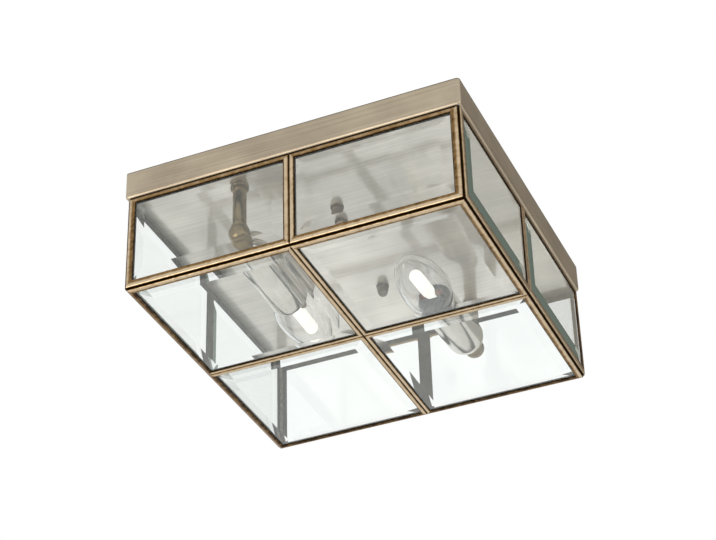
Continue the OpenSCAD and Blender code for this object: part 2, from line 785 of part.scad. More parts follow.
ceiling_pan();
mounting_strap();
strap_studs();
plain_nuts();
cap_nut_washers();
cap_nut(-1);  // cap_nut_front
cap_nut(1);  // cap_nut_back
terminal_block();
terminal_screws();
live_leads();
neutral_leads();
earth_post();
earth_lead();
hinge_pan_leaf();
hinge_rivets();
hinge_pin();
hinge_cage_leaf();
catch_springs();
solder_seams();
stem_collars();
stem_nuts();
holder_contacts();
for (i = [0:len(LAMPS) - 1]) {
    stem(180 * i);
    knuckle(180 * i);
    holder_cover(180 * i);
    holder_insert(180 * i);
    lamp_cap(180 * i);
    lamp_envelope(180 * i);
    lamp_capsule(180 * i);
}
for (i = [0:len(PANELS) - 1]) {
    panel_frame(i);
    panel_pane(i);
}
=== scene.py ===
"""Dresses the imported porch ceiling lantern: brushed and antique brass, bevelled glass, two
candle lamps, the ceiling fixing above the pan, and the studio stage round it."""

import json
import math

import bmesh
import bpy
from bpy.props import FloatProperty, FloatVectorProperty, PointerProperty
from mathutils import Matrix, Vector


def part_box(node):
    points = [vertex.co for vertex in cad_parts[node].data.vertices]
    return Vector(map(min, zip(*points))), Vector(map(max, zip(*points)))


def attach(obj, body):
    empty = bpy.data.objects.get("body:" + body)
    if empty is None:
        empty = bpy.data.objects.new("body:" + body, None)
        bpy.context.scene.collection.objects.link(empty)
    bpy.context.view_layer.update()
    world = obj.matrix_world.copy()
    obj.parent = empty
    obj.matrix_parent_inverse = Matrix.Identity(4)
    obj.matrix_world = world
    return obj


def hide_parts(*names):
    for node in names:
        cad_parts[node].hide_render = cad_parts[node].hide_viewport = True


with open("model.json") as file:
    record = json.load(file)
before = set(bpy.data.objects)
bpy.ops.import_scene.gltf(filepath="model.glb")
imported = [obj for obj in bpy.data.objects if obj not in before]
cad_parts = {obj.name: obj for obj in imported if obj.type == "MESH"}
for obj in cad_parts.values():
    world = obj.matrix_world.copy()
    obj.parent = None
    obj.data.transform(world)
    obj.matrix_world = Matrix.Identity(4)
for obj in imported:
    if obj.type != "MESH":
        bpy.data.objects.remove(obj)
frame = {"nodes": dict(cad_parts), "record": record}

bl_info = {
    "name": "Porch Ceiling Lantern",
    "version": (1, 0, 0),
    "blender": (4, 5, 0),
    "location": "3D View > Sidebar > Lantern",
    "description": "Builds the dressed pieces of a bevelled-glass ceiling lantern",
    "category": "Object",
}

RECORD = frame["record"]
BODY_OF = {node: body for body, nodes in RECORD["behaviour"]["bodies"].items() for node in nodes}
JOINT_AT = {joint["name"]: joint["pos_m"] for joint in RECORD["behaviour"]["joints"]}

# The eight side panels run round the cage, two to a side, and the floor panels follow.
PANELS = ("front_left", "front_right", "right_front", "right_back", "back_right", "back_left",
          "left_back", "left_front", "bottom_front_left", "bottom_front_right",
          "bottom_back_left", "bottom_back_right")
SIDE_PANELS = 8
SIDES = ("left", "right")
MM = 0.001


# ---------------------------------------------------------------- sizes and colours

def hex_colour(code):
    """Linear colour of an sRGB hex value."""
    parts = [int(code[i:i + 2], 16) / 255 for i in (1, 3, 5)]
    return tuple(p / 12.92 if p <= 0.04045 else ((p + 0.055) / 1.055) ** 2.4 for p in parts)


def length(name, description, default):
    return FloatProperty(name=name, description=description, default=default, min=0,
                         unit="LENGTH", subtype="DISTANCE", precision=5)


def colour(name, description, code):
    return FloatVectorProperty(name=name, description=description, size=3, min=0, max=1,
                               default=hex_colour(code), subtype="COLOR")


def span(node):
    """Size of a CAD node's box."""
    low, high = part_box(node)
    return Vector(high) - Vector(low)


def middle(node):
    """Middle of a CAD node's box."""
    low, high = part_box(node)
    return (Vector(high) + Vector(low)) / 2


class LanternPan(bpy.types.PropertyGroup):
    side: length("Side", "Side of the square pan", span("ceiling_pan").x)
    depth: length("Depth", "Height of the skirt", span("ceiling_pan").z)
    wall: length("Wall", "Thickness of the folded sheet", 1 * MM)
    bend: length("Bend radius", "Radius of the bends and of the upright corners", 2.5 * MM)


class LanternCage(bpy.types.PropertyGroup):
    panel_width: length("Panel width", "Width of a panel over its strips",
                        span("bottom_front_left_frame").x)
    panel_height: length("Panel height", "Height of a side panel over its strips",
                         span("front_left_frame").z)
    side_strip: length("Side strip", "Width of a strip round the side panes", 4.2 * MM)
    floor_strip: length("Floor strip", "Width of a strip round the floor's panes", 3.6 * MM)
    flange_lap: length("Flange lap", "How far the inner flange shows past the bead", 0.75 * MM)
    swell: length("Swell", "How far a bead rolls over an open edge of the cage", 0.9 * MM)
    strip_depth: length("Strip depth", "Thickness of a strip through the pane",
                        span("bottom_front_left_frame").z)
    strip_wall: length("Strip wall", "Wall of the folded channel", 0.45 * MM)
    crown: length("Crown", "Rise of the bead's crown over the strip's flat", 0.3 * MM)
    web: length("Web", "Solid edge of the strip beside the pane's rim", 0.72 * MM)


class LanternArm(bpy.types.PropertyGroup):
    stem_diameter: length("Stem diameter", "Outside diameter of the stem",
                          span("stem_left").x)
    stem_bore: length("Stem bore", "Bore of the stem", 6.4 * MM)
    ball_diameter: length("Ball diameter", "Diameter of the knuckle", 15 * MM)
    droop: FloatProperty(name="Droop", description="Dip of the lamp axis below the level",
                         default=math.radians(3), subtype="ANGLE")
    cover_diameter: length("Cover diameter", "Outside diameter of the lampholder cover", 28 * MM)
    cover_wall: length("Cover wall", "Wall of the cover", 0.8 * MM)
    cover_hole: length("Cover hole", "Radius of the hole in the cover's round end", 4.1 * MM)
    cover_end: length("Cover end", "Middle of the cover's round end from the ball", 21 * MM)
    cover_rim: length("Cover rim", "Rim of the cover from the ball", 79 * MM)


class LanternLamp(bpy.types.PropertyGroup):
    reach: length("Reach", "Tip of the lamp from the ball", 141 * MM)
    glass_length: length("Glass length", "Length of the candle glass", 73 * MM)
    diameter: length("Diameter", "Greatest diameter of the glass", 35 * MM)
    belly: length("Belly", "Part of the length, from the neck, where it is widest", 29 * MM)
    wall: length("Glass wall", "Wall of the candle glass", 0.9 * MM)
    cap_diameter: length("Cap diameter", "Diameter of the screw cap", 14 * MM)
    cap_length: length("Cap length", "Length of the screw cap", 25 * MM)
    thread_pitch: length("Thread pitch", "Pitch of the cap's rolled thread", 2.82 * MM)
    capsule_diameter: length("Capsule diameter", "Diameter of the inner capsule", 9.6 * MM)
    capsule_length: length("Capsule length", "Length of the inner capsule", 29 * MM)
    capsule_gap: length("Capsule gap", "Gap from the capsule to the tip", 20 * MM)


class LanternFixing(bpy.types.PropertyGroup):
    stud_diameter: length("Stud diameter", "Diameter of the studs", 4 * MM)
    stud_pitch: length("Stud pitch", "Pitch of the stud's thread", 0.7 * MM)
    edge: length("Broken edge", "Width of the broken edge on the strap", 0.15 * MM)


class LanternColours(bpy.types.PropertyGroup):
    skirt: colour("Skirt", "Brushed antique brass of the pan's skirt", "#bfb29b")
    # The plate's pale tone is painted light from below, on the same sheet as the skirt.
    plate: colour("Plate", "Satin plate under the pan, painted pale", "#f8eee2")
    # The crown colour is a painted highlight; the groove colour is patina in the hollows.
    strip: colour("Strip", "Brass tone on the flanks of the beads", "#8d7049")
    crown: colour("Crown", "Painted highlight on the crowns of the beads", "#ccb99b")
    groove: colour("Groove", "Patina in the grooves between the strips", "#2e1f0c")
    arm: colour("Arm", "Antique brass of the lamp arms", "#8f7d5e")
    cover: colour("Cover", "Satin nickel of the lampholder covers", "#d8d3cb")


GROUPS = {"lantern_pan": LanternPan, "lantern_cage": LanternCage, "lantern_arm": LanternArm,
          "lantern_lamp": LanternLamp, "lantern_fixing": LanternFixing,
          "lantern_colours": LanternColours}


# ---------------------------------------------------------------- mesh tools

def lathe(bm, outline, steps=96, finish=0, matrix=Matrix.Identity(4), closed=False):
    """Spins (radius, height) points round Z. Points on the axis close to a pole."""
    before = set(bm.verts)
    verts = [bm.verts.new((radius, 0, height)) for radius, height in outline]
    pairs = list(zip(verts, verts[1:])) + ([(verts[-1], verts[0])] if closed else [])
    edges = [bm.edges.new(pair) for pair in pairs]
    bmesh.ops.spin(bm, geom=verts + edges, cent=(0, 0, 0), axis=(0, 0, 1), dvec=(0, 0, 0),
                   angle=2 * math.pi, steps=steps, use_merge=True, use_normal_flip=False,
                   use_duplicate=False)
    settle(bm, before, finish, matrix)


def settle(bm, before, finish, matrix):
    """Merges, turns outwards, places and gives a finish to what was added after before."""
    added = [v for v in bm.verts if v not in before]
    bmesh.ops.remove_doubles(bm, verts=added, dist=1e-6)
    added = [v for v in bm.verts if v not in before]
    faces = list({f for v in added for f in v.link_faces})
    bmesh.ops.recalc_face_normals(bm, faces=faces)
    for face in faces:
        face.material_index = finish
    bmesh.ops.transform(bm, matrix=matrix, verts=added)


def thread_outline(root, crest, start, end, pitch):
    """Outline of a rolled thread as rings between two heights."""
    count = max(1, round((end - start) / pitch))
    step = (end - start) / count
    points = [(root, start)]
    for k in range(count):
        low = start + k * step
        points += [(crest, low + 0.35 * step), (crest, low + 0.65 * step), (root, low + step)]
    return points


def arc(centre, radius, start, end, steps):
    """Points (across, up) on an arc, angles in degrees."""
    angles = [math.radians(start + (end - start) * k / steps) for k in range(steps + 1)]
    return [(centre[0] + radius[0] * math.cos(a), centre[1] + radius[1] * math.sin(a))
            for a in angles]


def softened(node, width, segments=2, angle=30):
    """A merged copy of a CAD node's mesh with its sharp edges broken."""
    bm = bmesh.new()
    bm.from_mesh(frame["nodes"][node].data)
    for face in bm.faces:
        face.material_index = 0
    bmesh.ops.remove_doubles(bm, verts=bm.verts, dist=2e-6)
    bmesh.ops.dissolve_limit(bm, angle_limit=math.radians(0.5), verts=bm.verts, edges=bm.edges)
    sharp = [e for e in bm.edges if len(e.link_faces) == 2
             and e.calc_face_angle(0) > math.radians(angle)]
    if width:
        bmesh.ops.bevel(bm, geom=sharp, offset=width, segments=segments, profile=0.5,
                        affect="EDGES", clamp_overlap=True, material=-1)
    return bm


def to_mesh(name, bm):
    """Makes a mesh of a bmesh and frees it."""
    data = bpy.data.meshes.new(name)
    bm.to_mesh(data)
    bm.free()
    return data


def to_scene(name, data):
    """Makes an object of a mesh, a light or a camera."""
    thing = bpy.data.objects.new(name, data)
    bpy.context.scene.collection.objects.link(thing)
    return thing


def add_piece(name, bm, nodes, finishes, smooth_angle=35):
    """Makes a piece of a bmesh; it stands for its CAD nodes and rides with them."""
    data = to_mesh(name, bm)
    data.shade_smooth()
    data.set_sharp_from_angle(angle=math.radians(smooth_angle))
    for finish in finishes:
        data.materials.append(FINISHES[finish])
    piece = to_scene(name, data)
    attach(piece, BODY_OF[nodes[0]])
    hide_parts(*nodes)
    return piece


def add_softened(name, node, width, finish, segments=2):
    """Makes a piece of a CAD node's shape with broken edges."""
    add_piece(name, softened(node, width, segments), [node], [finish])


def dress(node, finish):
    """Gives a CAD node, whose shape is right, its finish."""
    for place in frame["nodes"][node].material_slots:
        place.material = FINISHES[finish]


def lamp_place(side, droop=0.0, knuckle=True):
    """Frame of one arm: its origin is the ball's middle and, with a droop, +Z its lamp axis."""
    stem = middle("stem_" + side)
    height = JOINT_AT["lamp_left_turn"][2] if knuckle else 0
    turn = Matrix.Rotation(math.pi if side == "right" else 0, 4, "Z")
    place = Matrix.Translation((stem.x, stem.y, height)) @ turn
    if knuckle:
        place = place @ Matrix.Rotation(-math.pi / 2 - droop, 4, "X")
    return place


# ---------------------------------------------------------------- materials

def add_node(tree, kind, inputs=None, **settings):
    """Adds a node. An input given as a node or a socket is linked, any other value is set."""
    node = tree.nodes.new("ShaderNode" + kind)
    for key, value in settings.items():
        setattr(node, key, value)
    for key, value in (inputs or {}).items():
        if isinstance(value, bpy.types.Node):
            value = value.outputs[0]
        if isinstance(value, bpy.types.NodeSocket):
            tree.links.new(value, node.inputs[key])
        else:
            node.inputs[key].default_value = value
    return node


def blank(name):
    """An empty node material and its tree."""
    material = bpy.data.materials.new(name)
    material.use_nodes = True
    material.node_tree.nodes.clear()
    return material, material.node_tree


def rgba(value):
    return (*(hex_colour(value) if isinstance(value, str) else value), 1)


# Full height of the grain and wear that a bump draws on metal.
GRAIN_HEIGHT = 0.2 * MM


def metal(name, tone, shade, roughness, grain, patch, streak, relief, edge=None, lacquer=None):
    """Metal with fine grain, in cycles per metre along X, Y and Z, and slow patches of tone,
    patch across. streak is the grain's share in the tone and relief the strength of its bump.
    edge is the tone of a band of painted shade along the top edge, at the ceiling, which fades
    out below it, and lacquer the roughness and IOR of a clear coat."""
    material, tree = blank(name)
    place = add_node(tree, "TexCoord").outputs["Object"]
    lines = add_node(tree, "Mapping", {"Vector": place, "Scale": grain})
    fine = add_node(tree, "TexNoise",
                    {"Vector": lines, "Scale": 1, "Detail": 4, "Roughness": 0.6})
    slow = add_node(tree, "TexNoise",
                    {"Vector": place, "Scale": 1 / patch, "Detail": 3, "Roughness": 0.55})
    both = add_node(tree, "Mix", {0: streak, 2: slow, 3: fine}, data_type="FLOAT")
    spread = add_node(tree, "MapRange", {"Value": both, "From Min": 0.3, "From Max": 0.7},
                      interpolation_type="SMOOTHSTEP")
    base = add_node(tree, "Mix", {0: spread, 6: rgba(shade), 7: rgba(tone)},
                    data_type="RGBA").outputs[2]
    # Painted shade: the tone darkens to the edge tone along the top edge.
    if edge:
        fade_from, fade_to = -0.9 * MM, -0.2 * MM
        height = add_node(tree, "SeparateXYZ", {0: place}).outputs[2]
        rim = add_node(tree, "MapRange",
                       {"Value": height, "From Min": fade_from, "From Max": fade_to})
        base = add_node(tree, "Mix", {0: rim, 6: base, 7: rgba(edge)},
                        data_type="RGBA").outputs[2]
    gloss = add_node(tree, "MapRange",
                     {"Value": both, "From Min": 0.25, "From Max": 0.75,
                      "To Min": roughness * 1.2, "To Max": roughness * 0.85})
    bump = add_node(tree, "Bump",
                    {"Strength": relief, "Distance": GRAIN_HEIGHT, "Height": fine})
    coat = {}
    if lacquer:
        coat = {"Coat Weight": 1.0, "Coat Roughness": lacquer[0], "Coat IOR": lacquer[1]}
    shader = add_node(tree, "BsdfPrincipled",
                      {"Base Color": base, "Metallic": 1.0, "Roughness": gloss,
                       "Normal": bump, **coat})
    add_node(tree, "OutputMaterial", {"Surface": shader})
    return material


def patina_and_sheen_strip(name, colours):
    """Antiqued brass: an attribute on the mesh runs from 0 in the grooves, where the patina is
    whole, through painted shade on the flanks to a cream painted highlight on the crowns, and a
    fine worn grain breaks its edges."""
    material, tree = blank(name)
    place = add_node(tree, "TexCoord").outputs["Object"]
    patina_and_sheen = add_node(tree, "Attribute", attribute_name="patina_and_sheen").outputs["Fac"]
    wear_and_shade = add_node(tree, "TexNoise",
                    {"Vector": place, "Scale": 260, "Detail": 4, "Roughness": 0.6})
    break_up = add_node(tree, "MapRange",
                        {"Value": wear_and_shade, "From Min": 0.3, "From Max": 0.7,
                         "To Min": -0.16, "To Max": 0.16})
    level = add_node(tree, "Math", {0: patina_and_sheen, 1: break_up}, operation="ADD", use_clamp=True)
    # The flanks take painted shade and the crowns a cream painted highlight; the grooves keep
    # their patina.
    flank = add_node(tree, "MapRange", {"Value": level, "From Min": 0.1, "From Max": 0.55},
                     interpolation_type="SMOOTHSTEP")
    crown = add_node(tree, "MapRange", {"Value": level, "From Min": 0.5, "From Max": 1.0},
                     interpolation_type="SMOOTHSTEP")
    base = add_node(tree, "Mix", {0: flank, 6: rgba(colours.groove), 7: rgba(colours.strip)},
                    data_type="RGBA").outputs[2]
    base = add_node(tree, "Mix", {0: crown, 6: base, 7: rgba(colours.crown)},
                    data_type="RGBA").outputs[2]
    gloss = add_node(tree, "MapRange", {"Value": level, "To Min": 0.5, "To Max": 0.27})
    bump = add_node(tree, "Bump", {"Strength": 0.05, "Distance": GRAIN_HEIGHT, "Height": wear_and_shade})
    shader = add_node(tree, "BsdfPrincipled",
                      {"Base Color": base, "Metallic": 1.0, "Roughness": gloss,
                       "Normal": bump})
    add_node(tree, "OutputMaterial", {"Surface": shader})
    return material


def plastic(name, tone, shade, roughness):
    """Moulded plastic: a fine eroded texture and a slight drift of colour."""
    grit, grit_height = 0.6 * MM, 0.05 * MM
    material, tree = blank(name)
    place = add_node(tree, "TexCoord").outputs["Object"]
    grain = add_node(tree, "TexNoise", {"Vector": place, "Scale": 1 / grit, "Detail": 2})
    drift = add_node(tree, "TexNoise", {"Vector": place, "Scale": 60})
    base = add_node(tree, "Mix", {0: drift, 6: rgba(shade), 7: rgba(tone)},
                    data_type="RGBA").outputs[2]
    bump = add_node(tree, "Bump", {"Strength": 0.15, "Distance": grit_height, "Height": grain})
    shader = add_node(tree, "BsdfPrincipled",
                      {"Base Color": base, "Roughness": roughness, "Normal": bump})
    add_node(tree, "OutputMaterial", {"Surface": shader})
    return material


def clear_glass(name, tint, density, ior=1.5, waviness=0.0, painted_edge_glow=0.0):
    """Clear glass: a tint that deepens with the way through it, and the slightest waviness.
    The edge glow is a painted glow per metre inside the glass, which lights up a long way through
    the sheet, along its edges."""
    wave, wave_height = 12 * MM, 0.5 * MM
    material, tree = blank(name)
    inputs = {"Base Color": (1, 1, 1, 1), "Roughness": 0.0, "IOR": ior,
              "Transmission Weight": 1.0}
    if waviness:
        place = add_node(tree, "TexCoord").outputs["Object"]
        ripple = add_node(tree, "TexNoise", {"Vector": place, "Scale": 1 / wave, "Detail": 1})
        inputs["Normal"] = add_node(
            tree, "Bump", {"Strength": waviness, "Distance": wave_height, "Height": ripple})
    shader = add_node(tree, "BsdfPrincipled", inputs)
    body = add_node(tree, "VolumeAbsorption", {"Color": rgba(tint), "Density": density})
    # Painted light: the glass glows teal of its own where the way through it is long.
    if painted_edge_glow:
        glow = add_node(tree, "Emission", {"Color": rgba("#a9c9b6"), "Strength": painted_edge_glow})
        body = add_node(tree, "AddShader", {0: body, 1: glow})
    add_node(tree, "OutputMaterial", {"Surface": shader, "Volume": body})
    return material


def frosted_capsule():
    """Quartz capsule, frosted white: it spreads light, and a little painted glow brightens it."""
    material, tree = blank("Frosted quartz")
    place = add_node(tree, "TexCoord").outputs["Object"]
    cloud = add_node(tree, "TexNoise", {"Vector": place, "Scale": 250})
    base = add_node(tree, "Mix", {0: cloud, 6: rgba("#f6f2e6"), 7: rgba("#fdfcf7")},
                    data_type="RGBA").outputs[2]
    # The emission is a painted glow.
    shader = add_node(tree, "BsdfPrincipled",
                      {"Base Color": base, "Roughness": 0.35,
                       "Subsurface Weight": 0.3, "Subsurface Radius": (0.003, 0.003, 0.003),
                       "Emission Color": rgba("#fffbf0"), "Emission Strength": 0.9})
    add_node(tree, "OutputMaterial", {"Surface": shader})
    return material


FINISHES = {}


def make_finishes(colours):
    """Every finish of the lantern, from the real material each one stands for."""
    FINISHES.update({
        # Brass sheet, oxidised and linished along the skirt: streaks under a millimetre
        # apart that run level round all four sides, with painted shade along the top edge.
        "skirt": metal("Linished antique brass", colours.skirt, "#998c7a", 0.34,
                       (9, 9, 1500), 0.045, 0.55, 0.05, edge="#4d4539"),
        # The same sheet seen from below: satin, and painted paler for the light it catches from
        # below, under a clear lacquer in which the bars show faintly, with faint streaks along X.
        "plate": metal("Lacquered plate, painted pale for light from below", colours.plate, "#d8d0c4", 0.48,
                       (12, 900, 12), 0.05, 0.45, 0.015, lacquer=(0.08, 2.2)),
        # Inside of the pan: the sheet as rolled, dull and warm.
        "pan_inside": metal("Rolled brass sheet", "#b7a98a", "#9d8f72", 0.42,
                            (30, 700, 30), 0.03, 0.5, 0.03),
        # Drawn brass channel, antiqued: a cream painted highlight on its crown and painted shade
        # on its flanks, over brown patina in the grooves.
        "strip": patina_and_sheen_strip("Antique brass, patina and painted sheen", colours),
        # Hinge leaves and rivets of the same brass, worn evenly.
        "hinge": metal("Worn antique brass", colours.strip, "#8f7448", 0.3,
                       (260, 260, 260), 0.012, 0.4, 0.03),
        # Oxide left inside the channels, where nothing rubs it off.
        "groove": metal("Dark brass patina", "#1e150c", "#120c06", 0.65,
                        (500, 500, 500), 0.006, 0.5, 0.08),
        # Inner flanges of the channels: tarnished grey by flux and patina.
        "flange": metal("Tarnished channel inside", "#69645b", "#504b43", 0.45,
                        (400, 400, 400), 0.01, 0.5, 0.05),
        # Tin solder with copper-black patina, wiped while warm.
        "solder": metal("Patinated solder", "#8b867a", "#5f584b", 0.38,
                        (300, 300, 300), 0.004, 0.5, 0.15),
        # Turned brass, antiqued and lacquered: grain runs round the stem.
        "arm": metal("Turned antique brass", colours.arm, "#65543a", 0.25,
                     (150, 150, 900), 0.009, 0.45, 0.03),
        # Spun steel cover with satin nickel: soft rings round its axis, along Y.
        "cover": metal("Satin nickel plate", colours.cover, "#c1bbb1", 0.14,
                       (40, 1300, 40), 0.03, 0.4, 0.02),
        # Turned steel nuts, bronzed to a dark gloss.
        "nut": metal("Bronzed nut", "#8a8071", "#544b3d", 0.17,
                     (500, 500, 500), 0.004, 0.5, 0.04),
        # Bare brass contact parts, bright.
        "contact": metal("Bare brass", "#c9a866", "#a98a4c", 0.25,
                         (300, 300, 300), 0.008, 0.4, 0.02),
        # Pressed steel under zinc: cool grey, faintly patched.
        "zinc": metal("Zinc plated steel", "#b9bcbd", "#9fa3a6", 0.32,
                      (250, 250, 250), 0.007, 0.4, 0.04),
        # Rolled spring strip, warm and bright, with its grain level.
        "spring": metal("Phosphor bronze spring", "#b58a5c", "#94704a", 0.3,
                        (60, 60, 800), 0.01, 0.4, 0.02),
        # Clips inside the lamp, browned by its heat.
        "clip": metal("Heat-browned copper", "#8a5f48", "#5d3d30", 0.35,
                      (500, 500, 500), 0.003, 0.5, 0.05),
        # Moulded insulators, and the sleeves of the leads.
        "block": plastic("Moulded nylon", "#e9e4d4", "#ded8c6", 0.45),
        "insert": plastic("Brown phenolic", "#6b4d38", "#5a3f2d", 0.35),
        "vitrite": plastic("Black glass insulator", "#17171a", "#0f0f12", 0.15),
        "brown_wire": plastic("Brown PVC sleeve", "#6b4128", "#5d3721", 0.4),
        "blue_wire": plastic("Blue PVC sleeve", "#3f73b4", "#3768a6", 0.4),
        "earth_wire": plastic("Green and yellow PVC sleeve", "#8fae2e", "#3f8a3c", 0.4),
        # Float glass, ground and polished bevels: iron shows teal along the edges, lit by a
        # painted glow.
        "pane": clear_glass("Float glass", "#3fc9b0", 10, painted_edge_glow=8.5),
        # Blown lamp glass, thin and slightly wavy.
        "bulb": clear_glass("Blown lamp glass", "#cfe8e2", 3, 1.52, 0.2),
        "capsule": frosted_capsule(),
    })


# ---------------------------------------------------------------- pan

class LANTERN_OT_pan(bpy.types.Operator):
    """Fold the ceiling pan from one sheet, with rounded corners and bends"""
    bl_idname = "lantern.pan"
    bl_label = "Ceiling Pan"

    def execute(self, context):
        sizes = context.scene.lantern_pan
        bm = bmesh.new()
        bmesh.ops.create_cube(bm, size=1)
        bmesh.ops.scale(bm, vec=(sizes.side, sizes.side, sizes.depth), verts=bm.verts)
        bmesh.ops.translate(bm, vec=(0, 0, -sizes.depth / 2), verts=bm.verts)
        top = [f for f in bm.faces if f.normal.z > 0.5]
        bmesh.ops.delete(bm, geom=top, context="FACES")
        folds = [e for e in bm.edges if len(e.link_faces) == 2]
        bmesh.ops.bevel(bm, geom=folds, offset=sizes.bend, segments=8, profile=0.5,
                        affect="EDGES", material=-1)
        bmesh.ops.recalc_face_normals(bm, faces=bm.faces)
        for face in bm.faces:
            face.material_index = 1 if face.normal.z < -0.999 else 0
        pan = add_piece("ceiling_pan_sheet", bm, ["ceiling_pan"],
                        ["skirt", "plate", "pan_inside", "pan_inside"])
        sheet = pan.modifiers.new("Sheet thickness", "SOLIDIFY")
        sheet.thickness = sizes.wall
        sheet.offset = -1
        sheet.use_even_offset = True
        sheet.material_offset = 2
        # The cut rim stays crisp, and the flats stay flat beside the bends.
        for edge in pan.data.edges:
            edge.use_edge_sharp = all(pan.data.vertices[v].co.z > -1e-6 for v in edge.vertices)
        shading = pan.modifiers.new("Even shading", "WEIGHTED_NORMAL")
        shading.keep_sharp = True
        return {"FINISHED"}


# ---------------------------------------------------------------- cage

def panel_place(i, sizes):
    """Frame of panel i: its outer face looks along +Z."""
    wide = sizes.panel_width
    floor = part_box("bottom_front_left_frame")[0][2] + sizes.strip_depth
    if i < SIDE_PANELS:
        lift = floor + sizes.panel_height / 2
        return (Matrix.Rotation(math.radians(90 * (i // 2)), 4, "Z")
                @ Matrix.Translation(((i % 2 - 0.5) * wide, -wide, lift))
                @ Matrix.Rotation(math.pi / 2, 4, "X"))
    place = i - SIDE_PANELS
    return (Matrix.Translation(((place % 2 - 0.5) * wide, (place // 2 - 0.5) * wide, floor))
            @ Matrix.Rotation(math.pi, 4, "X"))


def open_edges(i):
    """Which side and which end of panel i run along an open edge of the cage."""
    across = -1 if i % 2 == 0 else 1
    back_floor = (i - SIDE_PANELS) // 2 == 1
    return across, -1 if i < SIDE_PANELS or back_floor else 1


def wear_and_shade(i, across, along):
    """Share, up to 1, of the painted highlight that the strip on one side or end of panel i keeps:
    the top strips under the pan and the floor's far edges get the most painted shade."""
    if i < SIDE_PANELS:
        upright = 0.86 if across == open_edges(i)[0] else 0.92
        return {1: 0.62, -1: 1, 0: upright}[along]
    far_left = across < 0 and i % 2 == 0
    far_back = along < 0 and i >= SIDE_PANELS + 2
    return 0.55 if far_left or far_back else 0.95


def smooth_step(value, low, high):
    """Rises softly from 0 at low to 1 at high."""
    t = min(1, max(0, (value - low) / (high - low)))
    return t * t * (3 - 2 * t)


def strip_section(sizes, width):
    """Closed section of the channel as (inset, roll, height, finish, patina and sheen, open patina
    and sheen)
    points: roll is the share of the swell over an open edge, finish 0 is the bead, 1 the inside of
    the channel and 2 the flange towards the lamps. The fifth value runs from 0 in the groove,
    where the patina is, through painted shade on the flanks to 1 on the crown, a painted
    highlight; the sixth stands for it along an open edge, with the painted highlight on the
    rolled-over shoulder and painted shade past it."""
    depth, wall = sizes.strip_depth, sizes.strip_wall
    crest, top = 0.5 * width, depth + sizes.crown
    valley = 1.45 * MM
    lip = depth - wall + 0.03 * MM
    flange, chamfer = width + sizes.flange_lap, 0.1 * MM
    outer = arc((crest, valley), (crest, top - valley), 180, 90, 9)
    inner = arc((crest, lip), (width - crest, top - lip), 90, 0, 8)[1:]
    section = [(0, 0, 0, 2, 0, 0), (0, 0, 0.5 * MM, 0, 0, 0), (0, 0.75, 0.95 * MM, 0, 0, 0)]
    for x, z in outer + inner:
        off = abs(x - crest) / crest
        # Painted highlight on the crown that falls off through painted shade on the flanks to the
        # patina of the groove; along an open edge, painted highlight on the rolled-over shoulder
        # and painted shade past it.
        patina_and_sheen = 1 - smooth_step(off, 0.3, 0.96 if x > crest else 1.08)
        open_patina_and_sheen = (1 - smooth_step(off, 0.8, 1)) * (1 - 0.58 * smooth_step(x / width, 0.28, 0.55))
        section.append((x, max(0, 1 - x / crest), z, 0, patina_and_sheen, open_patina_and_sheen))
    section += [(x, 0, z, 1, 0, 0) for x, z in (
        (width, depth - wall), (sizes.web, depth - wall), (sizes.web, wall), (flange, wall),
        (flange, chamfer))]
    return section + [(flange - chamfer, 0, 0, 2, 0, 0)]


def folded_strips(i, sizes):
    """The channel round panel i, drawn ring by ring along its section, with mitred corners.
    It rolls over the open edges of the cage."""
    side_panel = i < SIDE_PANELS
    section = strip_section(sizes, sizes.side_strip if side_panel else sizes.floor_strip)
    half_w = sizes.panel_width / 2
    half_h = (sizes.panel_height if side_panel else sizes.panel_width) / 2
    open_x, open_y = open_edges(i)
    bm = bmesh.new()
    patina_and_sheen_layer = bm.loops.layers.float.new("patina_and_sheen")
    corners = [bm.verts.new((x * half_w, y * half_h, 0))
               for x, y in ((-1, -1), (1, -1), (1, 1), (-1, 1))]
    first = [bm.edges.new((corners[k], corners[(k + 1) % 4])) for k in range(4)]
    ring, last = first, (0, 0)
    for inset, roll, height, finish, *patina_and_sheens in section[1:]:
        grown = bmesh.ops.extrude_edge_only(bm, edges=ring)["geom"]
        verts = {g for g in grown if isinstance(g, bmesh.types.BMVert)}
        for vert in verts:
            side_x, side_y = math.copysign(1, vert.co.x), math.copysign(1, vert.co.y)
            out_x = roll * sizes.swell if side_x == open_x else 0
            out_y = roll * sizes.swell if side_y == open_y else 0
            vert.co = (side_x * (half_w - inset + out_x), side_y * (half_h - inset + out_y),
                       height)
        for face in (g for g in grown if isinstance(g, bmesh.types.BMFace)):
            face.material_index = finish
            centre = face.calc_center_median()
            upright = half_w - abs(centre.x) < half_h - abs(centre.y)
            across = math.copysign(1, centre.x) if upright else 0
            along = 0 if upright else math.copysign(1, centre.y)
            opened = across == open_x or along == open_y
            # Each corner takes the patina and painted highlight of the section, dimmed into
            # painted shade on the top strips and the floor's far edges.
            for corner in face.loops:
                patina_and_sheen_here = (patina_and_sheens if corner.vert in verts else last)[opened]
                corner[patina_and_sheen_layer] = patina_and_sheen_here * wear_and_shade(i, across, along)
        ring = [g for g in grown if isinstance(g, bmesh.types.BMEdge)
                and all(v in verts for v in g.verts)]
        last = patina_and_sheens
    for face in bmesh.ops.bridge_loops(bm, edges=ring + first)["faces"]:
        face.material_index = 2
    bmesh.ops.recalc_face_normals(bm, faces=bm.faces)
    bmesh.ops.transform(bm, matrix=panel_place(i, sizes), verts=bm.verts)
    return bm


